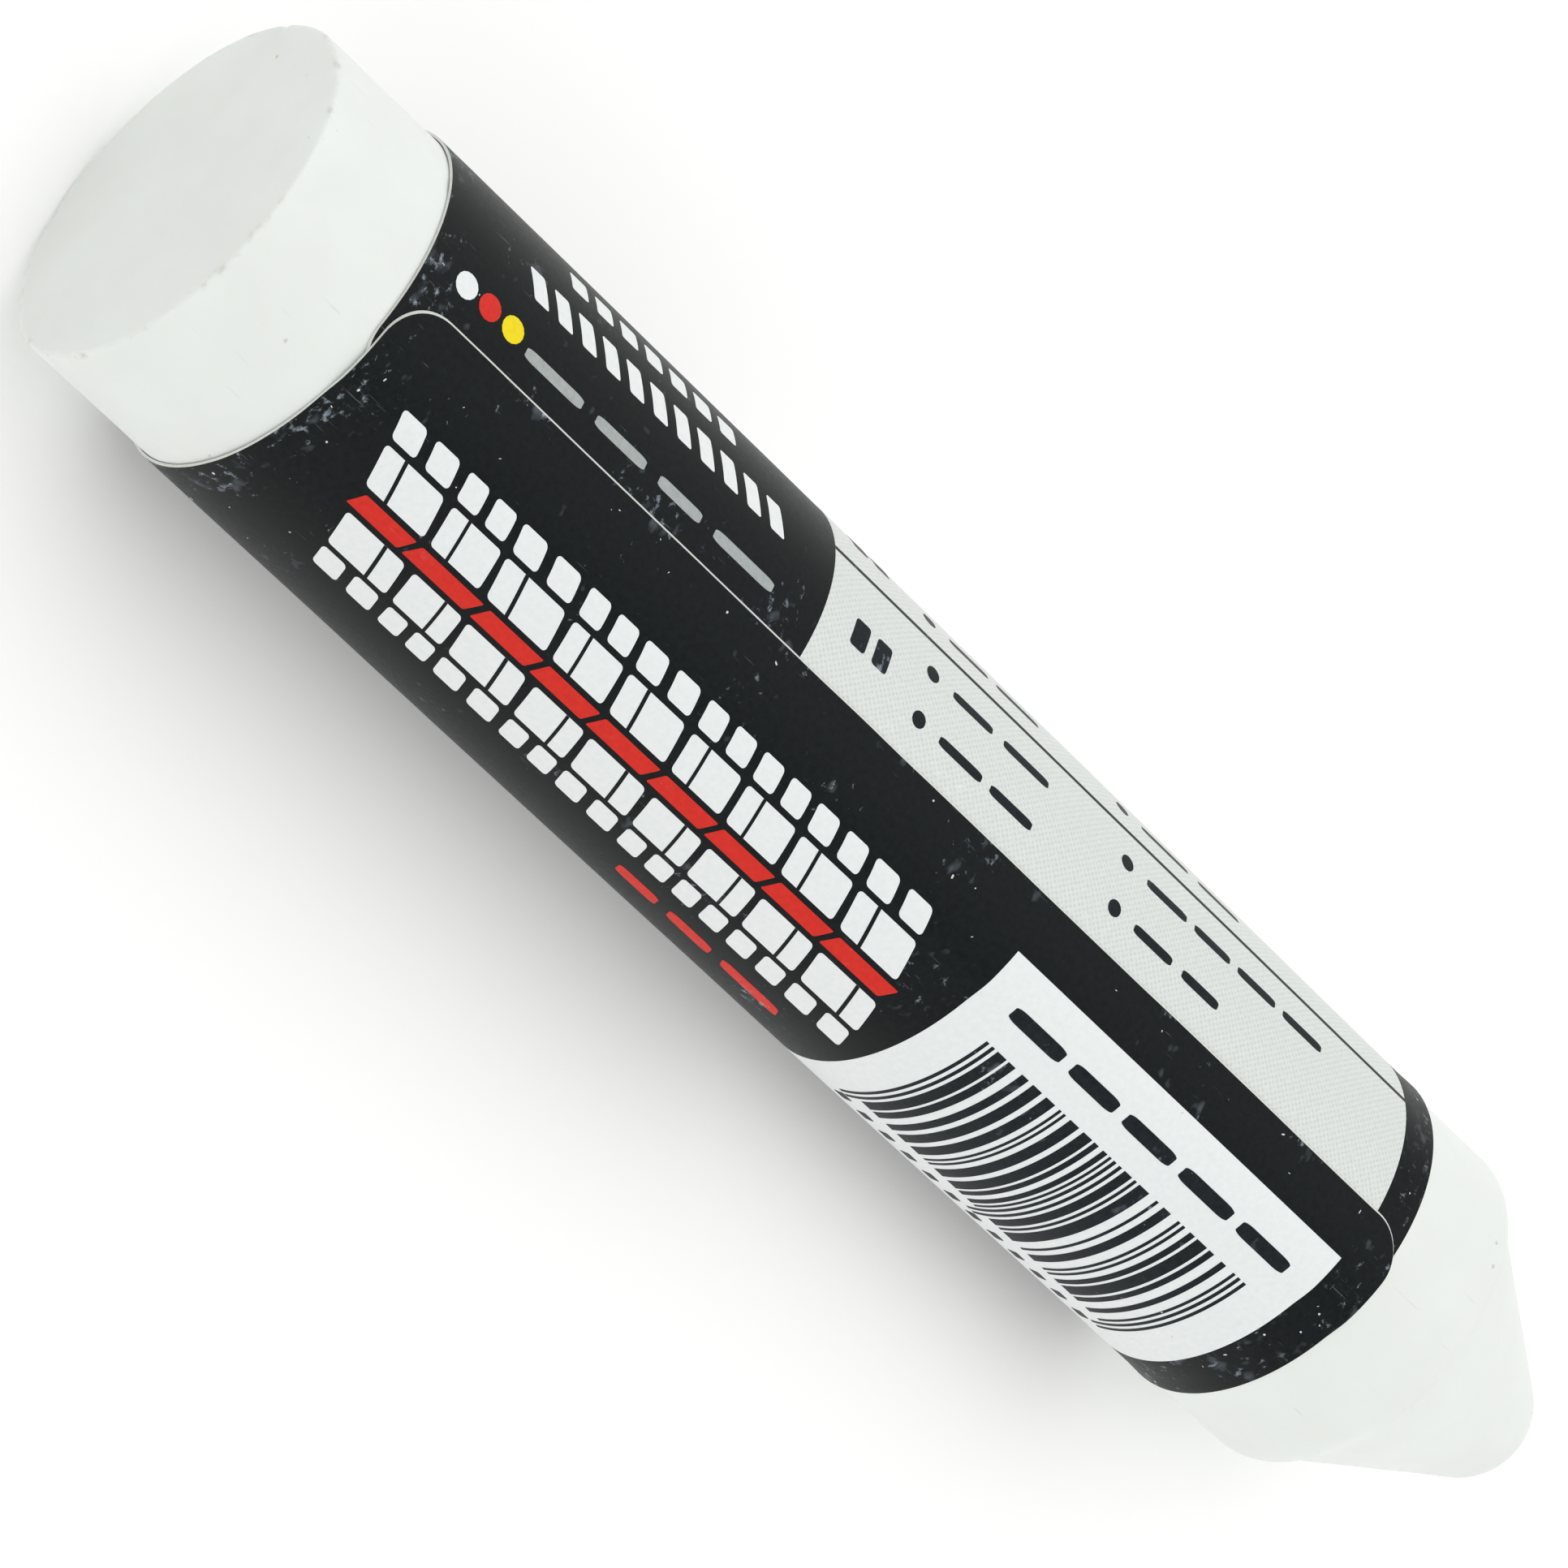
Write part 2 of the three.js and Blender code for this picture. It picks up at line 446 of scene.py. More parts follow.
def flat_object(name: str, points: np.ndarray, faces: list[Face], printed: list[bool]) -> Object:
    """Makes an object in sheet coordinates, with a face attribute that marks its printed side.

    Args:
        name: The piece's name.
        points: Its points.
        faces: Point numbers of each face, facing out.
        printed: Whether each face is on the printed side.

    Returns:
        The linked object.
    """
    mesh = bpy.data.meshes.new(name)
    mesh.from_pydata(points.tolist(), [], faces)
    marks = mesh.attributes.new("printed", "BOOLEAN", "FACE")
    marks.data.foreach_set("value", printed)
    return put_in_scene(name, mesh)


@dataclass(frozen=True)
class Plate:
    """A flat plate, ready to be wound: closed, with rounded corners and sides that may lean."""

    length: float
    width: float
    corner: float = 0.01 * MM
    lean: float = 0.0
    offset: float = 0.0
    end_slope: float = 0.0
    side_slope: float = 0.0
    top: float = INK_HEIGHT
    bottom: float = -INK_SINK
    cell_along: float = 1.5 * MM
    cell_around: float = 0.45 * MM
    fine_ends: float = 0.0
    corner_steps: int = 4
    least_step: float = 0.0001 * MM

    @classmethod
    def disc(cls, size: float, cell: float = 0.3 * MM) -> "Plate":
        """Cuts a round plate."""
        return cls(size, size, corner=size / 2, cell_along=cell)

    def stations(self, length: float, cell: float, graded: float) -> np.ndarray:
        """Spaces lines over a length: close together at its ends, evenly between them.

        Args:
            length: The whole length.
            cell: The widest spacing between the ends.
            graded: How far the close spacing reaches in.

        Returns:
            Distances from 0 to the length.
        """
        turn = np.linspace(0, math.pi / 2, self.corner_steps + 1)
        near = graded * (1 - np.cos(turn))
        count = max(1, math.ceil((length - 2 * graded) / cell))
        middle = np.linspace(graded, length - graded, count + 1)
        every = np.concatenate([near, middle, length - near[::-1]])
        apart = np.concatenate([[True], np.diff(every) > self.least_step])
        return every[apart]

    def build(self, name: str) -> Object:
        """Builds the plate, its nearest corner at the origin.

        Args:
            name: The piece's name.

        Returns:
            The flat object.
        """
        rows = self.stations(self.width, self.cell_around, self.corner)
        columns = self.stations(self.length, self.cell_along, self.fine_ends)
        short = np.clip(self.corner - np.minimum(rows, self.width - rows), 0, None)
        inset = self.corner - np.sqrt(np.clip(self.corner ** 2 - short ** 2, 0, None))
        x = inset[:, None] + (columns / self.length)[None, :] * (self.length - 2 * inset[:, None])
        y = np.broadcast_to(rows[:, None], x.shape)
        layers = []
        for z, share in ((self.top, 1.0), (self.bottom, 0.0)):
            drawn_x = x + share * self.end_slope * (1 - 2 * x / self.length)
            drawn_y = y + share * self.side_slope * (1 - 2 * y / self.width)
            leaning = drawn_x + self.offset + self.lean * (drawn_y / self.width - 0.5)
            layers.append(np.stack([leaning, drawn_y, np.full_like(x, z)], -1).reshape(-1, 3))
        faces, printed = self.faces(len(columns), len(rows))
        return flat_object(name, np.concatenate(layers), faces, printed)

    @staticmethod
    def faces(across: int, down: int) -> tuple[list[Face], list[bool]]:
        """Joins two like grids of points into a closed shell.

        Args:
            across: Points in a row of the grid.
            down: Rows of the grid.

        Returns:
            The faces, and whether each is on the printed side.
        """
        grid = np.arange(across * down).reshape(down, across)
        corners = [grid[:-1, :-1], grid[:-1, 1:], grid[1:, 1:], grid[1:, :-1]]
        top = np.stack(corners, -1).reshape(-1, 4)
        under = top[:, [0, 3, 2, 1]] + grid.size
        rim = np.concatenate([grid[0], grid[1:, -1], grid[-1, -2::-1], grid[-2:0:-1, 0]])
        after = np.roll(rim, -1)
        sides = np.stack([rim + grid.size, after + grid.size, after, rim], -1)
        printed = [True, False] * len(top) + [False] * len(sides)
        return [*np.stack([top, under], 1).reshape(-1, 4).tolist(), *sides.tolist()], printed


def new_material(name: str) -> tuple[Material, Adder]:
    """Starts a material with an empty node tree.

    Args:
        name: The finish's name.

    Returns:
        The material, and what adds a node to it.
    """
    material = bpy.data.materials.new(name)
    material.use_nodes = True
    material.node_tree.nodes.clear()
    return material, partial(add, material.node_tree)


@dataclass(frozen=True)
class CastWax:
    """Paraffin wax filled with chalk and cast in a mould, as the stick is."""

    # To the eye: milky white with a soft sheen and faint clouds. Light goes in a little, so no
    # edge looks hard. Handling leaves scratches, specks, and dirt along the butt's rim.
    body: str = "eaeeea"
    shade: str = "e6e9e5"
    dirt: str = "a39c8b"
    refraction: float = 1.44
    glow: float = 0.35
    glow_reach: Triple = (1.0, 0.9, 0.8)
    glow_depth: float = 0.6 * MM
    mottle: float = 7 * MM
    clouds: Ramp = Ramp(0.35, 0.7)
    sheen: Ramp = Ramp(0.3, 0.7, 0.42, 0.56)
    grain: float = 0.35 * MM
    grain_share: float = 0.4
    relief: float = 0.06 * MM
    relief_strength: float = 0.25
    scratch_width: float = 1.6 * MM
    scratch_pull: Triple = (0.09, 1.0, 1.0)
    scratch_turn: float = math.radians(4)
    speck_spacing: float = 1.6 * MM
    speck_bend: float = 0.4 * MM
    speck_drift: float = 0.35 * MM
    speck_reach: float = 0.13
    speck_taper: float = 2.0
    speck_free: float = 0.6
    specks: Ramp = Ramp(0.0, 0.06, 0.0, 0.45)
    hairline: float = 0.22 * MM
    hair_pull: Triple = (0.06, 1.0, 1.0)
    hair_turn: float = math.radians(-7)
    hairs: Ramp = Ramp(0.71, 0.79, 0.0, 0.2)
    rim_dirt: Ramp = Ramp(0.1125 * MM, 0.45 * MM, 1.0, 0.0)
    rim_patch: float = 1.1 * MM
    rim_breaks: Ramp = Ramp(0.54, 0.7, 0.0, 0.48)

    def build(self) -> Material:
        """Builds the wax.

        Returns:
            The material.
        """
        material, put = new_material("cast_paraffin_wax")
        place = put("ShaderNodeTexCoord").outputs["Object"]
        cloud = put(NOISE, {"Vector": place, "Scale": 1 / self.mottle, "Detail": 4.0,
                            "Roughness": 0.55})
        cloudy = put(RANGE, (cloud, *self.clouds))
        tint = put(BLEND, (cloudy, linear(self.body), linear(self.shade)))
        colour = put(BLEND, (self.dirt_cover(put, place), tint, linear(self.dirt)))

        # Rubbing in a box of crayons leaves faint scratches along the stick, over a fine grain.
        drawn = put(MAPPING, {"Vector": place, "Rotation": (0.0, 0.0, self.scratch_turn),
                              "Scale": self.scratch_pull})
        scratches = put(NOISE, {"Vector": drawn, "Scale": 1 / self.scratch_width, "Detail": 6.0,
                                "Roughness": 0.7})
        grains = put(NOISE, {"Vector": place, "Scale": 1 / self.grain, "Detail": 3.0})
        skin = put("ShaderNodeMix data_type=FLOAT", (self.grain_share, scratches, grains))
        bump = put(BUMP, {"Height": skin, "Strength": self.relief_strength,
                          "Distance": self.relief})
        shader = put(SURFACE, {"Base Color": colour, "Roughness": put(RANGE, (cloud, *self.sheen)),
                               "Normal": bump, "IOR": self.refraction,
                               "Subsurface Weight": self.glow,
                               "Subsurface Radius": self.glow_reach,
                               "Subsurface Scale": self.glow_depth})
        put(OUTPUT, [shader])
        return material

    def dirt_cover(self, put: Adder, place: NodeSocket) -> Node:
        """Places the specks and hairlines of workshop dirt that stick to wax.

        Args:
            put: Adds a node to the material.
            place: The object coordinates.

        Returns:
            The node that gives the dirt's cover, from 0 to 1.
        """
        bent = put(NOISE, {"Vector": place, "Scale": 1 / self.speck_bend})
        drift = put(VECTOR, (bent.outputs["Color"], self.speck_drift), operation="SCALE")
        moved = put(VECTOR, (place, drift))
        cells = put(CELLS, {"Vector": moved, "Scale": 1 / self.speck_spacing}).outputs
        pick = put(SEPARATE_COLOUR, [cells["Color"]]).outputs
        reach = put(TIMES, (put(POWER, (pick["Green"], self.speck_taper)), self.speck_reach))
        speck = put(RANGE, (put(MINUS, (reach, cells["Distance"])), *self.specks))
        specks = put(TIMES, (speck, put(GREATER, (pick["Red"], self.speck_free))))
        drawn = put(MAPPING, {"Vector": place, "Rotation": (0.0, 0.0, self.hair_turn),
                              "Scale": self.hair_pull})
        lines = put(NOISE, {"Vector": drawn, "Scale": 1 / self.hairline})
        loose = put(MAXIMUM, (specks, put(RANGE, (lines, *self.hairs))))
        return put(MAXIMUM, (loose, self.rim_cover(put, place)))

    def rim_cover(self, put: Adder, place: NodeSocket) -> Node:
        """Places the broken line of dirt along the butt's worn rim.

        Args:
            put: Adds a node to the material.
            place: The object coordinates.

        Returns:
            The node that gives the dirt's cover, from 0 to 1.
        """
        centred = put(VECTOR, (place, (-BUTT, 0.0, -AXIS_HEIGHT)))
        along, aside, up = put(SEPARATE, [centred]).outputs
        spoke = put(VECTOR, [put(COMBINE, (0.0, aside, up))], operation="LENGTH")
        inward = put(MINUS, (STICK_RADIUS, spoke))
        away = put(VECTOR, [put(COMBINE, (along, inward))], operation="LENGTH")
        near = put(RANGE, (away, *self.rim_dirt))
        patches = put(NOISE, {"Vector": place, "Scale": 1 / self.rim_patch, "Detail": 4.0,
                              "Roughness": 0.6})
        return put(TIMES, (near, put(RANGE, (patches, *self.rim_breaks))))


@dataclass(frozen=True)
class RubbedWax:
    """Wax rubbed off on the label in use, mostly by its ends and its seam."""

    # To the eye: pale scuffs, a thin haze, hairlines and pinpoints that cross from ink to ink.
    scuff: float = 0.75 * MM
    smear: float = 1.4 * MM
    patch: float = 6 * MM
    hairline: float = 0.16 * MM
    speck_spacing: float = 2.6 * MM
    speck_reach: float = 0.055
    speck_taper: float = 3.0
    speck_free: float = 0.975
    speck_cover: float = 0.4
    end_reach: float = 6.5 * MM
    seam_reach: float = 1.6 * MM
    seam_share: float = 0.42
    patch_weight: float = 0.5
    edge_weight: float = 0.11
    hair_weight: float = 0.5
    pull: Triple = (1.2, 0.85, 1.0)
    pull_turn: float = math.radians(20)
    scuffs: Ramp = Ramp(0.69, 0.88, 0.0, 0.85)
    haze: Ramp = Ramp(0.7, 0.95, 0.0, 0.22)
    hairs: Ramp = Ramp(0.74, 0.82, 0.0, 0.14)
    hair_turns: Pair = (math.radians(12), math.radians(-64))
    hair_pulls: Pair = (0.05, 0.08)

    def build(self) -> NodeTree:
        """Builds the group that every print shares, so that wax crosses from ink to ink.

        Returns:
            A group with the wax's cover, from 0 to 1, and the sheet coordinates.
        """
        tree = bpy.data.node_groups.new("rubbed_wax", "ShaderNodeTree")
        tree.interface.new_socket("Cover", in_out="OUTPUT", socket_type="NodeSocketFloat")
        tree.interface.new_socket("Sheet", in_out="OUTPUT", socket_type="NodeSocketVector")
        put = partial(add, tree)
        sheet = put(SHEET_PLACE).outputs["Vector"]
        closeness = self.closeness(put, sheet)
        patches = put(NOISE, {"Vector": sheet, "Scale": 1 / self.patch, "Detail": 1.0})
        local = put(TIMES_PLUS, (patches, self.patch_weight, -self.patch_weight / 2))
        level = put(TIMES_PLUS, (closeness, self.edge_weight, local))

        # Scuffs are pulled round the stick, as fingers turn it.
        pulled = put(MAPPING, {"Vector": sheet, "Rotation": (0.0, 0.0, self.pull_turn),
                               "Scale": self.pull})
        cloud = put(NOISE, {"Vector": pulled, "Scale": 1 / self.scuff, "Detail": 6.0,
                            "Roughness": 0.66, "Distortion": 0.25})
        smear = put(NOISE, {"Vector": pulled, "Scale": 1 / self.smear, "Detail": 2.0})
        covers = [put(RANGE, (put(PLUS, (pattern, level)), *shows))
                  for pattern, shows in ((cloud, self.scuffs), (smear, self.haze))]
        for turn, pull in zip(self.hair_turns, self.hair_pulls):
            drawn = put(MAPPING, {"Vector": sheet, "Rotation": (0.0, 0.0, turn),
                                  "Scale": (pull, 1.0, 1.0)})
            lines = put(NOISE, {"Vector": drawn, "Scale": 1 / self.hairline})
            raised = put(TIMES_PLUS, (level, self.hair_weight, lines))
            covers.append(put(RANGE, (raised, *self.hairs)))
        covers.append(self.specks(put, sheet, closeness))
        total = reduce(lambda one, other: put(MAXIMUM, (one, other)), covers)
        put("NodeGroupOutput", (total, sheet))
        return tree

    def specks(self, put: Adder, sheet: NodeSocket, closeness: Node) -> Node:
        """Scatters pinpoints of wax, closer together by the edges.

        Args:
            put: Adds a node to the group.
            sheet: The sheet coordinates.
            closeness: The node that tells how close an edge is.

        Returns:
            The node that gives their cover.
        """
        cells = put(CELLS, {"Vector": sheet, "Scale": 1 / self.speck_spacing}).outputs
        pick = put(SEPARATE_COLOUR, [cells["Color"]]).outputs
        reach = put(TIMES, (put(POWER, (pick["Green"], self.speck_taper)), self.speck_reach))
        inside = put("ShaderNodeMath operation=LESS_THAN", (cells["Distance"], reach))
        chosen = put(GREATER, (put(PLUS, (pick["Red"], closeness)), self.speck_free))
        return put(TIMES, (put(TIMES, (inside, chosen)), self.speck_cover))

    def closeness(self, put: Adder, sheet: NodeSocket) -> Node:
        """Measures how close a spot is to the label's ends and to its seam.

        Args:
            put: Adds a node to the group.
            sheet: The sheet coordinates.

        Returns:
            The node that gives 1 at an end, falling to 0 away from it.
        """
        along, around, _ = put(SEPARATE, [sheet]).outputs
        to_end = put(MINIMUM, (along, put(MINUS, (SHEET_LENGTH, along))))
        near_end = put(SMOOTH, (to_end, 0.0, self.end_reach, 1.0, 0.0))
        behind = put("ShaderNodeMath operation=ABSOLUTE", [put(MINUS, (ONE_TURN, around))])
        to_seam = put(MINIMUM, (around, behind))
        near_seam = put(SMOOTH, (to_seam, 0.0, self.seam_reach, self.seam_share, 0.0))
        return put(MAXIMUM, (near_end, near_seam))


@dataclass(frozen=True)
class OffsetPrint:
    """Offset ink on coated label paper, under a satin film."""

    # To the eye: one even satin colour from a step away. Up close it is faintly mottled, and the
    # paper's fibre just shows in the sheen. Wax rubbed on it is paler and duller.
    ink: str
    mottle: str
    wax: str = "b4c2cd"
    sheen: Ramp = Ramp(0.3, 0.7, 0.39, 0.48)
    specular: float = 0.12
    dulling: float = 0.2
    mottle_size: float = 0.45 * MM
    clouds: Ramp = Ramp(0.35, 0.7)
    fibre: float = 0.28 * MM
    relief: float = 0.02 * MM
    relief_strength: float = 0.2
    screen_ink: str = ""

    # The real halftone is too fine to show, so it is drawn coarser.
    screen_pitch: float = 0.32 * MM
    screen_turn: float = math.radians(45)
    screen_grain: float = 0.3 * MM
    screen_break: float = 4.0
    screen_dots: Ramp = Ramp(1.9, 3.6, 0.0, 0.7)

    def build(self, name: str, wear: NodeTree) -> Material:
        """Builds the print.

        Args:
            name: The ink's name.
            wear: The group that places the rubbed-on wax.

        Returns:
            The material.
        """
        material, put = new_material(f"offset_print_{name}")
        rubbed, sheet = put("ShaderNodeGroup", node_tree=wear).outputs
        cloud = put(NOISE, {"Vector": sheet, "Scale": 1 / self.mottle_size, "Detail": 4.0,
                            "Roughness": 0.65})
        cloudy = put(RANGE, (cloud, *self.clouds))
        colour = put(BLEND, (cloudy, linear(self.ink), linear(self.mottle)))
        if self.screen_ink:
            colour = put(BLEND, (self.screen(put, sheet), colour, linear(self.screen_ink)))
        colour = put(BLEND, (rubbed, colour, linear(self.wax)))
        dulled = put(TIMES_PLUS, (rubbed, self.dulling, put(RANGE, (cloud, *self.sheen))))
        fibres = put(NOISE, {"Vector": sheet, "Scale": 1 / self.fibre, "Detail": 3.0,
                             "Roughness": 0.6})
        bump = put(BUMP, {"Height": put(PLUS, (fibres, rubbed)), "Strength": self.relief_strength,
                          "Distance": self.relief})
        shader = put(SURFACE, {"Base Color": colour, "Roughness": dulled, "Normal": bump,
                               "Specular IOR Level": self.specular})
        put(OUTPUT, [shader])
        return material

    def screen(self, put: Adder, sheet: NodeSocket) -> Node:
        """Draws a halftone screen, with a little grain.

        Args:
            put: Adds a node to the material.
            sheet: The sheet coordinates.

        Returns:
            The node that gives the cover of its dots.
        """
        waves = math.tau / self.screen_pitch
        turned = put(MAPPING, {"Vector": sheet, "Rotation": (0.0, 0.0, self.screen_turn),
                               "Scale": (waves, waves, waves)})
        first, second, _ = put(SEPARATE, [turned]).outputs
        dots = put(PLUS, (put(SINE, [first]), put(SINE, [second])))
        grain = put(NOISE, {"Vector": sheet, "Scale": 1 / self.screen_grain, "Detail": 2.0})
        return put(RANGE, (put(TIMES_PLUS, (grain, self.screen_break, dots)), *self.screen_dots))


@dataclass(frozen=True)
class CutPaper:
    """The label's die-cut edge and its back: bare white paper."""

    # To the eye: a thin dull line along the seam, off-white with age and a little furry.
    face: str = "e7e9e4"
    fibre: str = "cfd1ca"
    fibre_size: float = 0.6 * MM
    roughness: float = 0.85
    relief: float = 0.02 * MM
    relief_strength: float = 0.3

    def build(self) -> Material:
        """Builds the paper.

        Returns:
            The material.
        """
        material, put = new_material("die_cut_paper")
        sheet = put(SHEET_PLACE).outputs["Vector"]
        cloud = put(NOISE, {"Vector": sheet, "Scale": 1 / self.fibre_size, "Detail": 5.0})
        colour = put(BLEND, (cloud, linear(self.face), linear(self.fibre)))
        bump = put(BUMP, {"Height": cloud, "Strength": self.relief_strength,
                          "Distance": self.relief})
        shader = put(SURFACE, {"Base Color": colour, "Roughness": self.roughness, "Normal": bump})
        put(OUTPUT, [shader])
        return material


@dataclass(frozen=True)
class Finishes:
    """Every material of the crayon, built once."""

    wax: Material
    paper: Material
    inks: dict[Ink, Material]

    @classmethod
    def build(cls) -> "Finishes":
        """Builds all the finishes.

        Returns:
            The set of materials.
        """
        # The black is a rich satin near-black, a touch blue. The white is the coated paper itself,
        # brighter and smoother than its cut edge. The grey is a light tint, so it is screened.
        prints = {
            Ink.BLACK: OffsetPrint("0b0f10", "151a1b"),
            Ink.WHITE: OffsetPrint("eaedec", "e3e7e7", wax="dfe4e6"),
            Ink.GREY: OffsetPrint("dee1de", "d8dcd9", wax="eceeec", screen_ink="c6ccc8"),
            Ink.DARK: OffsetPrint("14191d", "1f2528"),
            Ink.RED: OffsetPrint("d83227", "cd2b22"),
            Ink.YELLOW: OffsetPrint("f2dc1d", "e9d21c"),
            Ink.SILVER: OffsetPrint("a9b0ae", "9aa19f"),
        }
        wear = RubbedWax().build()
        inks = {ink: finish.build(ink.value, wear) for ink, finish in prints.items()}
        return cls(CastWax().build(), CutPaper().build(), inks)


@dataclass
class Winder:
    """Turns flat objects into finished pieces on the stick."""

    finishes: Finishes
    trees: WindingTrees = field(default_factory=WindingTrees)
    sizes: Winding = Winding()
    sharp_angle: float = math.radians(40)

    def wind(self, flat: Object, tree: NodeTree, row: Row, face: Material,
             edge: Material) -> Object:
        """Winds a flat object round the stick and leaves a plain mesh.

        Args:
            flat: The flat object, which is used up.
            tree: The modifier tree.
            row: How it is repeated.
            face: The printed side's material.
            edge: The cut edge's and the back's material.

        Returns:
            The piece, with no modifier left on it.
        """
        modifier = flat.modifiers.new("wind", "NODES")
        modifier.node_group = tree
        inputs = [item for item in tree.interface.items_tree if item.in_out == "INPUT"]
        keys = {item.name: item.identifier for item in inputs}
        for sizes in (row, self.sizes):
            for size in fields(sizes):
                modifier[keys[size.name]] = getattr(sizes, size.name)
        modifier[keys["face"]] = face
        modifier[keys["edge"]] = edge
        name = flat.name
        wound = flat.evaluated_get(bpy.context.evaluated_depsgraph_get())
        mesh = bpy.data.meshes.new_from_object(wound)
        bpy.data.objects.remove(flat)
        mesh.name = name

        # A flat object has no material, so an empty slot may stand before the ones that were set.
        if mesh.materials[0] is None:
            mesh.materials.pop(index=0)
        mesh.shade_smooth()
        mesh.set_sharp_from_angle(angle=self.sharp_angle)
        return put_in_scene(name, mesh)


class Outline:
    """Half a turned shape's outline, drawn by heading: 0 runs along the stick, 90 degrees in."""

    def __init__(self, along: float, radius: float, heading: float) -> None:
        """Starts at a point with a heading."""
        self.along, self.radius, self.heading = along, radius, heading
        self.points = [(along, radius)]

    def straight(self, length: float, cell: float) -> None:
        """Runs straight in even steps.

        Args:
            length: How far it runs.
            cell: The steps' length, at most a little more.
        """
        count = max(1, round(length / cell))
        for _ in range(count):
            self.along += length / count * math.cos(self.heading)
            self.radius -= length / count * math.sin(self.heading)
            self.points.append((self.along, self.radius))

    def turn(self, arc_radius: float, to_heading: float, steps: int) -> None:
        """Turns to a new heading on an arc.

        Args:
            arc_radius: The arc's radius.
            to_heading: The heading at its end.
            steps: How many chords it is drawn in.
        """
        start = self.heading
        chord = 2 * arc_radius * math.sin(abs(to_heading - start) / (2 * steps))
        for i in range(steps):
            self.heading = start + (to_heading - start) * (i + 0.5) / steps
            self.straight(chord, chord)
        self.heading = to_heading


@dataclass(frozen=True)
class Knock:
    """A dent in the skin or a chip in the butt's rim."""

    along: float
    angle: float
    reach: float
    depth: float

    @classmethod
    def drawn(cls, chance: random.Random, along: float, reach: Pair, depth: Pair) -> "Knock":
        """Draws a knock's angle, reach and depth."""
        return cls(along, chance.uniform(0, math.tau), chance.uniform(*reach),
                   chance.uniform(*depth))

    def aside(self, angle: float, arm: float) -> float:
        """Measures the way round from the knock to an angle, at a distance from the axis."""
        return ((angle - self.angle + math.pi) % math.tau - math.pi) * arm


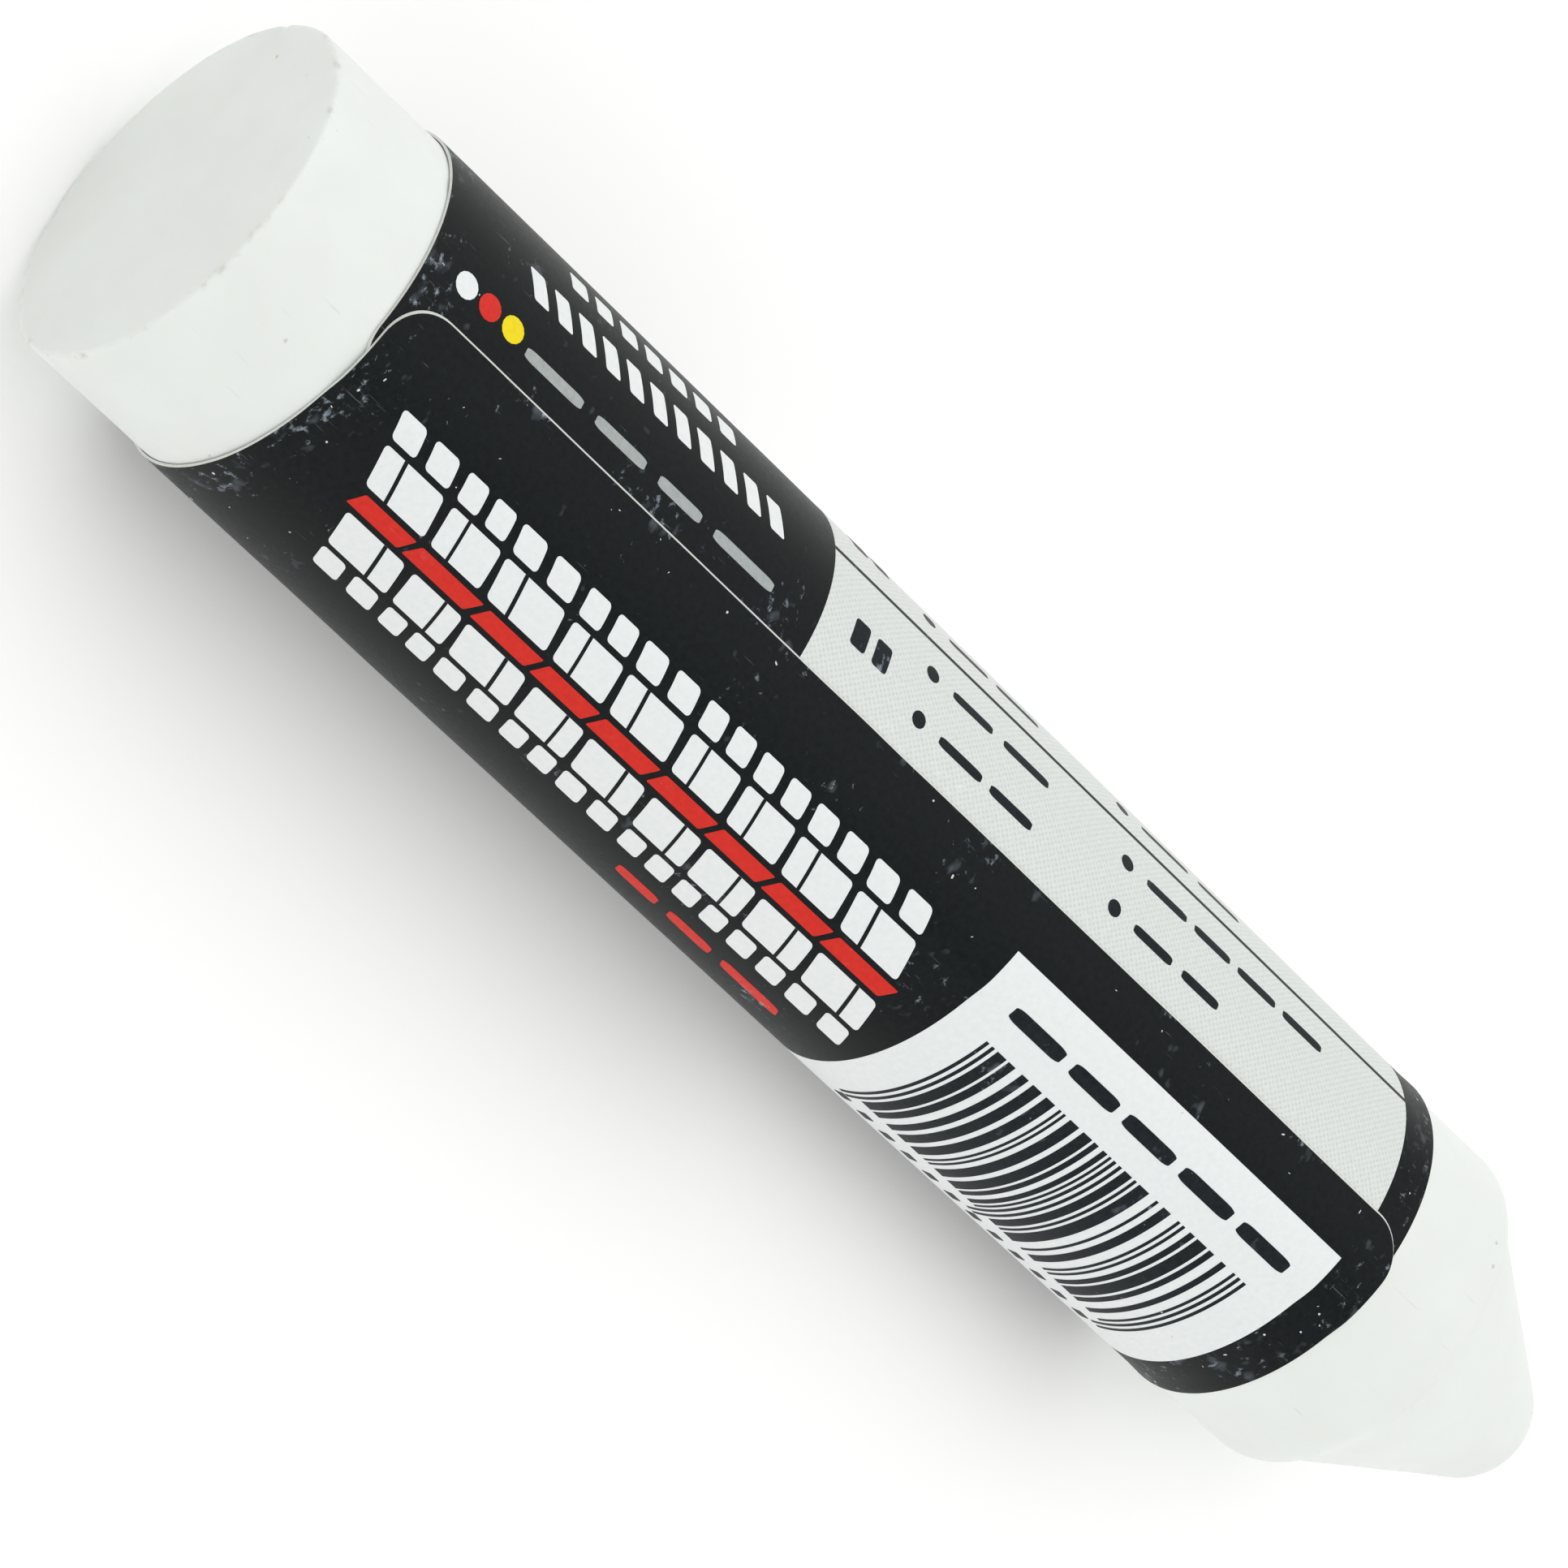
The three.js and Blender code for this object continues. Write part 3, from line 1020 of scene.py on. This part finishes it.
@dataclass
class WaxStick:
    """The cast stick: butt, barrel, shoulder, hollow neck, cone and blunt tip in one skin.

    Its shoulder is tighter and its tip blunter than the solid's, by half a millimetre at most.
    """

    name: str = "wax_body"
    rim_radius: float = 0.3 * MM
    shoulder_radius: float = 1.5 * MM
    shoulder_angle: float = math.radians(49)
    neck_radius: float = 3.2 * MM
    cone_half_angle: float = math.radians(29)
    tip_radius: float = 4.75 * MM
    rim_steps: int = 8
    shoulder_steps: int = 12
    neck_steps: int = 6
    tip_steps: int = 18
    segments: int = 360
    cell: float = 0.4 * MM
    covered_from: float = 9.9 * MM
    covered_to: float = 100.4 * MM
    covered_cell: float = 10 * MM
    slow_swell: float = 0.035 * MM
    slow_length: float = 9 * MM
    fine_swell: float = 0.008 * MM
    fine_length: float = 1.3 * MM
    dents: int = 46
    dent_reach: Pair = (0.35 * MM, 1.3 * MM)
    dent_depth: Pair = (0.015 * MM, 0.07 * MM)
    dent_tail: float = 3.0
    least_arm: float = 2 * MM
    chips: int = 18
    chip_reach: Pair = (0.15 * MM, 0.5 * MM)
    chip_depth: Pair = (0.04 * MM, 0.22 * MM)
    rim_reach: float = 0.9 * MM
    rim_wear: float = 0.02 * MM
    rim_grain: float = 0.5 * MM
    seed: int = 41
    knocks: list[Knock] = field(default_factory=list)
    nicks: list[Knock] = field(default_factory=list)

    def __post_init__(self) -> None:
        """Draws the dents in the bare skin and the chips in the rim from the seed."""
        chance = random.Random(self.seed)
        bare = STICK_LENGTH - self.covered_to + self.covered_from
        for _ in range(self.dents):
            along = chance.uniform(0, bare)
            along += self.covered_to - self.covered_from if along > self.covered_from else 0
            self.knocks.append(Knock.drawn(chance, along, self.dent_reach, self.dent_depth))
        for _ in range(self.chips):
            self.nicks.append(Knock.drawn(chance, 0.0, self.chip_reach, self.chip_depth))

    def outline(self) -> list[Pair]:
        """Draws the outline from the middle of the butt to the tip.

        Returns:
            Distance from the butt and radius of each ring.
        """
        shoulder, cone, inward = self.shoulder_angle, self.cone_half_angle, math.pi / 2

        # Each arc of the nose has a radius, and a heading at its start and at its end.
        arcs = ((self.shoulder_radius, 0.0, shoulder), (self.neck_radius, shoulder, cone),
                (self.tip_radius, cone, inward))
        drop = sum(radius * abs(math.cos(end) - math.cos(start)) for radius, start, end in arcs)
        slant = (STICK_RADIUS - drop) / math.sin(cone)
        nose = sum(radius * abs(math.sin(end) - math.sin(start)) for radius, start, end in arcs)
        nose += slant * math.cos(cone)
        path = Outline(0.0, 0.0, -inward)
        path.straight(STICK_RADIUS - self.rim_radius, self.cell)
        path.turn(self.rim_radius, 0.0, self.rim_steps)
        path.straight(self.covered_from - path.along, self.cell)
        path.straight(self.covered_to - path.along, self.covered_cell)
        path.straight(STICK_LENGTH - nose - path.along, self.cell)
        path.turn(self.shoulder_radius, shoulder, self.shoulder_steps)
        path.turn(self.neck_radius, cone, self.neck_steps)
        path.straight(slant, self.cell)
        path.turn(self.tip_radius, inward, self.tip_steps)
        return path.points[1:-1]

    def sunk(self, point: Vector, along: float, radius: float, angle: float) -> float:
        """Measures how far unevenness, dents and chips move a point of the skin inwards.

        Args:
            point: The point before wear.
            along: Its distance from the butt.
            radius: Its distance from the axis.
            angle: Its angle round the stick.

        Returns:
            The distance, below zero where the skin stands proud.
        """
        if self.covered_from < along < self.covered_to:
            return 0.0
        depth = self.slow_swell * noise.noise(point / self.slow_length)
        depth += self.fine_swell * noise.noise(point / self.fine_length)
        arm = max(radius, self.least_arm)
        for knock in self.knocks:
            if abs(along - knock.along) < self.dent_tail * knock.reach:
                far = math.hypot(along - knock.along, knock.aside(angle, arm)) / knock.reach
                depth += knock.depth * math.exp(-far * far)
        close = 1 - math.hypot(along, STICK_RADIUS - radius) / self.rim_reach
        if close > 0:
            depth += self.rim_wear * close * max(0.0, noise.noise(point / self.rim_grain))
            for nick in self.nicks:
                far = nick.aside(angle, arm) / nick.reach
                depth += nick.depth * math.exp(-far * far) * close ** 2
        return depth

    def build(self, wax: Material) -> Object:
        """Builds the stick.

        Args:
            wax: The stick's material.

        Returns:
            The finished piece.
        """
        outline = self.outline()
        points = [Vector((BUTT, 0, AXIS_HEIGHT))]
        for number, (along, radius) in enumerate(outline):
            before = outline[max(number - 1, 0)]
            after = outline[min(number + 1, len(outline) - 1)]
            step = Vector((after[0] - before[0], after[1] - before[1])).normalized()
            for i in range(self.segments):
                angle = math.tau * i / self.segments
                spoke = Vector((0, -math.sin(angle), math.cos(angle)))
                point = Vector((BUTT + along, 0, AXIS_HEIGHT)) + spoke * radius
                out = Vector((-step.y, 0, 0)) + spoke * step.x
                points.append(point - out * self.sunk(point, along, radius, angle))
        points.append(Vector((BUTT + STICK_LENGTH, 0, AXIS_HEIGHT)))
        mesh = bpy.data.meshes.new(self.name)
        faces = self.skin(len(outline), len(points) - 1)
        mesh.from_pydata([tuple(point) for point in points], [], faces)
        mesh.materials.append(wax)
        mesh.shade_smooth()
        return dress(put_in_scene(self.name, mesh), Slot.WAX, "wax_stick")

    def skin(self, rings: int, tip: int) -> list[Face]:
        """Joins the rings of points into a closed skin.

        Args:
            rings: How many rings there are after the first point.
            tip: The number of the last point.

        Returns:
            The faces.
        """
        faces = []
        last = 1 + (rings - 1) * self.segments
        for i in range(self.segments):
            j = (i + 1) % self.segments
            faces.append((0, 1 + j, 1 + i))
            faces.append((last + i, last + j, tip))
            for base in range(1, last, self.segments):
                after = base + self.segments
                faces.append((base + i, base + j, after + j, after + i))
        return faces


@dataclass
class LabelSheet:
    """The black paper: rounded corners, a lap, and a cut edge that slants and shows white."""

    sheet: Plate = Plate(SHEET_LENGTH, SHEET_WIDTH, corner=CORNER_RADIUS, end_slope=0.05 * MM,
                         side_slope=0.17 * MM, top=0.0, bottom=-PAPER_THICKNESS,
                         cell_around=0.4 * MM, fine_ends=2 * MM, corner_steps=14)

    def build(self, winder: Winder) -> Object:
        """Builds the sheet.

        Args:
            winder: Winds the flat sheet.

        Returns:
            The finished piece.
        """
        row = Row(unit=self.sheet.length, span=self.sheet.length)
        sheet = winder.wind(self.sheet.build("label_sheet"), winder.trees.row, row,
                            winder.finishes.inks[Ink.BLACK], winder.finishes.paper)
        return dress(sheet, Slot.LABEL, "label")


@dataclass(frozen=True)
class Motif:
    """One printed motif: the piece it goes into, its ink, its plate, and how its row is set."""

    piece: str
    ink: Ink
    plate: Plate
    row: Row

    def build(self, winder: Winder) -> Object:
        """Winds the motif's row. A plate stands for one unit, unless the row names another.

        Args:
            winder: Winds the flat plate.

        Returns:
            The wound row.
        """
        unit = self.row.unit or self.plate.length
        row = replace(self.row, unit=unit, span=self.row.span or unit)
        ink = winder.finishes.inks[self.ink]
        return winder.wind(self.plate.build(self.piece), winder.trees.row, row, ink, ink)


class PrintedField:
    """A field of the print. Its motifs are wound on, and joined by the piece that they name."""

    panel = ""

    def motifs(self) -> list[Motif]:
        """Lays out the field."""
        raise NotImplementedError

    def mark(self, plate: Plate, row: Row) -> Motif:
        """Prints a dark mark on the field's panel."""
        return Motif(f"{self.panel}_marks", Ink.DARK, plate, replace(row, layer=INK_LAYER))

    def build(self, winder: Winder) -> list[Object]:
        """Builds the field.

        Args:
            winder: Winds the flat motifs.

        Returns:
            The finished pieces.
        """
        pieces: dict[str, list[Object]] = {}
        for motif in self.motifs():
            pieces.setdefault(motif.piece, []).append(motif.build(winder))
        finished = []
        for name, rows in pieces.items():
            with bpy.context.temp_override(active_object=rows[0], selected_editable_objects=rows):
                bpy.ops.object.join()
            rows[0].name = name
            rows[0].data.name = name
            finished.append(dress(rows[0], Slot.LABEL))
        return finished


@dataclass
class GreyPanel(PrintedField):
    """The light grey panel on the back half: ruled blocks of list dots and short bars."""

    panel: str = "grey_panel"
    along: float = 33.8 * MM
    end_margin: float = 2.8 * MM
    block_pitch: float = 8.8 * MM
    blocks: int = 4
    tucked: float = 1.5 * MM
    rule_width: float = 0.33 * MM
    bold: Plate = Plate(1.3 * MM, 1.9 * MM, corner=0.25 * MM, cell_along=0.4 * MM)
    bold_pair: Row = Row.even(2, 3.9 * MM, 0.5, start_along=36.3 * MM)
    bold_drop: float = 5.0 * MM
    dot: Plate = Plate.disc(1.1 * MM)
    dots_along: float = 42.45 * MM
    dots_apart: float = 18.4 * MM
    lines: int = 2
    first_line: float = 2.53 * MM
    line_pitch: float = 3.52 * MM
    bar: Plate = Plate(1 * MM, 0.64 * MM, corner=0.16 * MM)
    bar_pitch: Pair = (4.4 * MM, 5.3 * MM)
    bar_stretch: Pair = (2.6, 4.6)
    bar_gap: float = 0.9
    bar_columns: Pair = (44.9 * MM, 63.3 * MM)
    least_bars: int = 2
    seed: int = 7

    def motifs(self) -> list[Motif]:
        """Lays out the panel, the rules between its blocks, and the blocks.

        Returns:
            The motifs.
        """
        length = SHEET_LENGTH - self.along - self.end_margin
        reach = self.block_pitch * self.blocks
        found = [Motif(self.panel, Ink.GREY, Plate(length, reach + self.tucked),
                       Row(start_along=self.along, start_around=ONE_TURN - reach))]
        for block in range(self.blocks):
            top = ONE_TURN - block * self.block_pitch
            if block:
                rule = Row(start_along=self.along, start_around=top - self.rule_width / 2)
                found.append(self.mark(Plate(length, self.rule_width), rule))
            found += self.block_motifs(block, top)
        return found

    def block_motifs(self, block: int, top: float) -> list[Motif]:
        """Lays out one block: its bold pair of marks, four list dots, and the bars after each dot.

        Args:
            block: Which block it is, counted from the seam.
            top: Where the block ends, round the stick.

        Returns:
            The motifs.
        """
        chance = random.Random(self.seed + block)
        found = [self.mark(self.bold, replace(self.bold_pair, start_around=top - self.bold_drop))]
        dots = Row.even(2, 2 * self.dots_apart, self.dots_apart / self.dot.length - 1,
                        start_along=self.dots_along)
        least, most = self.bar_stretch
        for line in range(self.lines):
            middle = top - self.first_line - line * self.line_pitch
            dotted = replace(dots, start_around=middle - self.dot.width / 2)
            found.append(self.mark(self.dot, dotted))
            for column, start in enumerate(self.bar_columns):
                count = self.least_bars * (1 + column * line)
                bars = Row.even(count, count * chance.uniform(*self.bar_pitch), self.bar_gap,
                                start_along=start, start_around=middle - self.bar.width / 2,
                                least_stretch=least, most_stretch=most,
                                seed=10 * block + 2 * line + column)
                found.append(self.mark(self.bar, bars))
        return found


@dataclass
class WhitePanel(PrintedField):
    """The white panel near the nose, with a ladder of stripes of random widths."""

    panel: str = "white_panel"
    along: float = 56.8 * MM
    around: float = 3.72 * MM
    length: float = 31.4 * MM
    width: float = 21.8 * MM
    module: float = 0.264 * MM
    ladder_along: float = 59.9 * MM
    ladder_around: float = 8.85 * MM
    ladder_width: float = 11 * MM
    half_starts: tuple[int, int] = (4, 50)
    half_modules: int = 42
    half: Row = Row(count=12, most_stretch=4.0, least_gap=1.0, most_gap=3.0, step=1.0, bias=1.7)
    seed: int = 3
    guard_starts: tuple[int, int, int] = (0, 46, 92)
    guard_modules: int = 4
    guard_extra: float = 1.2 * MM
    dash: Plate = Plate(1 * MM, 0.95 * MM, corner=0.18 * MM)
    dashes: Row = Row.even(5, 27.4 * MM, 1.0, start_along=59.4 * MM, start_around=6.0 * MM,
                           least_stretch=2.5, most_stretch=5.5, seed=3)
    tick: Plate = Plate(0.9 * MM, 1.1 * MM, corner=0.15 * MM, cell_along=0.4 * MM)
    ticks: Row = Row.even(12, 25 * MM, 1.3, start_along=60.4 * MM, start_around=21.2 * MM)

    def motifs(self) -> list[Motif]:
        """Lays out the panel, the ladder's halves, its long guard stripes and the rows beside it.

        Returns:
            The motifs.
        """
        found = [Motif(self.panel, Ink.WHITE, Plate(self.length, self.width),
                       Row(start_along=self.along, start_around=self.around))]
        stripe = Plate(self.module, self.ladder_width)
        half = replace(self.half, span=self.half_modules * self.module,
                       start_around=self.ladder_around)
        for number, first in enumerate(self.half_starts):
            row = replace(half, seed=self.seed + number,
                          start_along=self.ladder_along + first * self.module)
            found.append(self.mark(stripe, row))
        guard = Row.even(2, self.guard_modules * self.module, 1.0, start_around=self.ladder_around)
        long_stripe = replace(stripe, width=self.ladder_width + self.guard_extra)
        for first in self.guard_starts:
            row = replace(guard, start_along=self.ladder_along + first * self.module)
            found.append(self.mark(long_stripe, row))
        return [*found, self.mark(self.dash, self.dashes), self.mark(self.tick, self.ticks)]


@dataclass
class TreadBand(PrintedField):
    """A tyre track: shoulder lugs, slanted blocks with a cut in each, and a red centre rib."""

    along: float = 4.0 * MM
    around: float = 5.3 * MM
    length: float = 47.5 * MM
    count: int = 9
    slant: float = 0.42
    groove: float = 0.4 * MM
    corner: float = 0.3 * MM
    cell: float = 0.7 * MM
    lug_width: float = 1.7 * MM
    lug_share: float = 0.36
    lug_offsets: Pair = (0.0, 0.5)
    block_width: float = 2.6 * MM
    block_gap: float = 0.62 * MM
    rib_width: float = 1.15 * MM
    rib_gap: float = 0.5 * MM
    rib_corner: float = 0.12 * MM
    cut_width: float = 0.26 * MM
    cut_places: Pair = (0.28, 0.56)
    stretch: Pair = (0.88, 1.12)
    stretch_step: float = 0.04
    seed: int = 4
    rib_seed: int = 15
    bars: Motif = Motif("red_bars", Ink.RED,
                        Plate(1 * MM, 1.05 * MM, corner=0.2 * MM, lean=0.12 * MM),
                        Row.even(3, 15.6 * MM, 0.9, start_along=37.4 * MM, start_around=18.2 * MM,
                                 least_stretch=2.6, most_stretch=4.4, seed=8))

    def motifs(self) -> list[Motif]:
        """Lays out five rows, the white ones lined up by one seed, and the red bars beside them.

        Returns:
            The motifs.
        """
        pitch = self.length / self.count
        least, most = self.stretch
        row = Row(count=self.count, unit=pitch, span=self.length, least_stretch=least,
                  most_stretch=most, step=self.stretch_step, seed=self.seed)
        leaning = self.slant * self.block_width
        lug = Plate(self.lug_share * pitch, self.lug_width, corner=self.corner,
                    lean=self.slant * self.lug_width, cell_along=self.cell)
        block = Plate(pitch - self.block_gap, self.block_width, corner=self.corner, lean=leaning,
                      cell_along=self.cell)
        cut = Plate(self.cut_width, self.block_width, lean=leaning)
        rib = Plate(pitch - self.rib_gap, self.rib_width, corner=self.rib_corner,
                    lean=-self.slant * self.rib_width, cell_along=self.cell)
        lugs = [Motif("tread_blocks", Ink.WHITE, replace(lug, offset=share * pitch), row)
                for share in self.lug_offsets]
        first, second = ([Motif("tread_blocks", Ink.WHITE, block, row),
                          Motif("tread_cuts", Ink.BLACK, replace(cut, offset=place * pitch),
                                replace(row, layer=INK_LAYER))] for place in self.cut_places)
        ribs = [Motif("tread_rib", Ink.RED, rib, replace(row, seed=self.rib_seed))]
        found = []
        around = self.around
        for band in (lugs, first, ribs, second, lugs):
            width = band[0].plate.width
            starts = {"start_along": self.along + self.slant * (around - self.around + width / 2),
                      "start_around": around}
            found += [replace(motif, row=replace(motif.row, **starts)) for motif in band]
            around += width + self.groove
        return [*found, self.bars]


@dataclass
class BlackField(PrintedField):
    """The black field behind the seam, with plain rows of marks and three control dots."""

    dashes: Motif = Motif("black_field_marks", Ink.WHITE,
                          Plate(1.2 * MM, 2.1 * MM, corner=0.16 * MM, lean=0.8 * MM,
                                cell_along=0.3 * MM),
                          Row.even(11, 22.8 * MM, 0.7, start_along=7.2 * MM,
                                   start_around=ONE_TURN - 7.45 * MM))
    squares: Motif = Motif("black_field_marks", Ink.WHITE,
                           Plate(1.35 * MM, 1.9 * MM, corner=0.2 * MM, cell_along=0.4 * MM),
                           Row.even(7, 15.2 * MM, 0.55, start_along=10.4 * MM,
                                    start_around=ONE_TURN - 11.1 * MM))
    bars: Motif = Motif("black_field_bars", Ink.SILVER, Plate(1 * MM, 0.75 * MM, corner=0.16 * MM),
                        Row.even(4, 22.8 * MM, 1.0, start_along=8.4 * MM,
                                 start_around=ONE_TURN - 2.4 * MM, least_stretch=2.2,
                                 most_stretch=5.0, seed=6))
    dot: Plate = Plate.disc(1.65 * MM)
    dots_along: float = 2.3 * MM
    dots_around: float = ONE_TURN - 3.3 * MM
    dot_pitch: float = 1.95 * MM
    dot_inks: tuple[Ink, Ink, Ink] = (Ink.WHITE, Ink.RED, Ink.YELLOW)

    def motifs(self) -> list[Motif]:
        """Lays out the slanted dashes, the small squares, the pale bars and the control dots.

        Returns:
            The motifs.
        """
        dots = [Motif(f"control_dot_{ink.value}", ink, self.dot,
                      Row(start_along=self.dots_along + number * self.dot_pitch,
                          start_around=self.dots_around))
                for number, ink in enumerate(self.dot_inks)]
        return [self.dashes, self.squares, self.bars, *dots]


@dataclass
class WaxCrumbs:
    """Small crumbs of wax, rubbed onto the label near its ends and its seam."""

    count: int = 90
    seam_every: int = 5
    radius: float = 0.09 * MM
    end_spread: float = 3 * MM
    end_reach: float = 18 * MM
    seam_spread: float = 1.5 * MM
    seam_reach: float = 6 * MM
    margin: float = 0.6 * MM
    seed: int = 23
    size_seed: int = 12

    def scatter(self) -> list[tuple[float, float, float]]:
        """Scatters the crumbs: most thin out from the ends, and every fifth from the flap's edge.

        Returns:
            A flat point for each crumb.
        """
        chance = random.Random(self.seed)
        places = []
        for number in range(self.count):
            from_end = self.margin + min(chance.expovariate(1 / self.end_spread), self.end_reach)
            along = from_end if number % 2 else SHEET_LENGTH - from_end
            around = chance.uniform(self.margin, ONE_TURN - self.margin)
            if number % self.seam_every == 0:
                along = chance.uniform(self.end_spread, SHEET_LENGTH - self.end_spread)
                around = self.margin + min(chance.expovariate(1 / self.seam_spread),
                                           self.seam_reach)
            places.append((along, around, INK_HEIGHT))
        return places

    def build(self, winder: Winder) -> Object:
        """Builds the crumbs.

        Args:
            winder: Winds the scatter.

        Returns:
            The finished piece.
        """
        flat = flat_object("wax_crumbs", np.array(self.scatter()), [], [])
        row = Row(unit=self.radius, seed=self.size_seed)
        wax = winder.finishes.wax
        crumbs = winder.wind(flat, winder.trees.crumbs, row, wax, wax)
        return dress(crumbs, Slot.WAX)


@dataclass(frozen=True)
class Lamp:
    """A soft round lamp, aimed at the crayon."""

    name: str
    place: Triple
    size: float
    power: float

    def build(self) -> None:
        """Hangs the lamp."""
        light = bpy.data.lights.new(self.name, "AREA")
        light.shape = "DISK"
        light.size = self.size
        light.energy = self.power
        holder = put_in_scene(self.name, light)
        holder.location = self.place
        holder.rotation_euler = (-Vector(self.place)).to_track_quat("-Z", "Y").to_euler()


@dataclass
class Studio:
    """The plain pale table, the soft lights, and the camera at the photograph's angle."""

    camera_place: Triple = (-0.23782, -0.16916, 0.38684)
    camera_aim: Triple = (-0.00847, -0.00095, AXIS_HEIGHT)
    camera_roll: float = math.radians(90.74)
    focal_pixels: float = 9837.0
    frame_pixels: float = 1932.0
    sensor: float = 36.0
    nearest: float = 0.01
    table_half: float = 1.5
    table_top: float = -0.04 * MM
    table_colour: str = "f6f6f5"
    table_roughness: float = 0.9
    table_specular: float = 0.1
    table_glow: float = 0.14
    room_light: float = 0.44
    lamps: tuple[Lamp, ...] = (
        Lamp("overhead", (0.05, 0.3, 1.05), 2.0, 10.2),
        Lamp("front_side", (0.1, -0.9, 0.5), 0.9, 2.5),
        Lamp("butt_side", (-0.9, -0.2, 0.3), 0.8, 0.7),
        Lamp("nose_side", (0.9, -0.3, 0.35), 0.8, 0.55),
        Lamp("back_side", (0.2, 0.95, 0.35), 0.8, 1.2),
    )

    def build(self) -> None:
        """Builds the whole stage."""
        self.build_table()
        for lamp in self.lamps:
            lamp.build()
        self.light_room()
        self.set_camera()

    def build_table(self) -> None:
        """Lays the table top: matt white card that glows a little, as a lit sweep does."""
        reach, height = self.table_half, self.table_top
        corners = [(-reach, -reach, height), (reach, -reach, height), (reach, reach, height),
                   (-reach, reach, height)]
        mesh = bpy.data.meshes.new("table_top")
        mesh.from_pydata(corners, [], [(0, 1, 2, 3)])
        material, put = new_material("matt_studio_card")
        white = linear(self.table_colour)
        shader = put(SURFACE, {"Base Color": white, "Roughness": self.table_roughness,
                               "Specular IOR Level": self.table_specular,
                               "Emission Color": white, "Emission Strength": self.table_glow})
        put(OUTPUT, [shader])
        mesh.materials.append(material)
        put_in_scene("table_top", mesh)

    def light_room(self) -> None:
        """Fills the room with even white light."""
        world = bpy.data.worlds.new("studio")
        world.use_nodes = True
        sky = world.node_tree.nodes["Background"].inputs
        sky["Color"].default_value = (1.0, 1.0, 1.0, 1.0)
        sky["Strength"].default_value = self.room_light
        bpy.context.scene.world = world

    def set_camera(self) -> None:
        """Sets the camera where the photograph was taken from."""
        lens = bpy.data.cameras.new("photograph")
        lens.sensor_width = self.sensor
        lens.lens = self.sensor * self.focal_pixels / self.frame_pixels
        lens.clip_start = self.nearest
        place = Vector(self.camera_place)
        facing = (Vector(self.camera_aim) - place).to_track_quat("-Z", "Y")
        turned = facing @ Quaternion((0, 0, 1), self.camera_roll)
        camera = put_in_scene("photograph", lens)
        camera.matrix_world = Matrix.Translation(place) @ turned.to_matrix().to_4x4()
        bpy.context.scene.camera = camera
        bpy.context.scene.view_settings.view_transform = "Standard"


def main() -> None:
    """Builds the crayon and its stage, and reports each piece."""
    logging.basicConfig(level=logging.INFO, format="%(name)s: %(message)s")
    winder = Winder(Finishes.build())
    pieces = [WaxStick().build(winder.finishes.wax), LabelSheet().build(winder)]
    for printed in (GreyPanel(), WhitePanel(), TreadBand(), BlackField()):
        pieces += printed.build(winder)
    pieces.append(WaxCrumbs().build(winder))
    for piece in pieces:
        triangles = sum(len(polygon.vertices) - 2 for polygon in piece.data.polygons)
        LOG.info("%s: %d triangles, %s", piece.name, triangles, piece.data.materials[0].name)
    Studio().build()


if __name__ == "__main__":
    main()
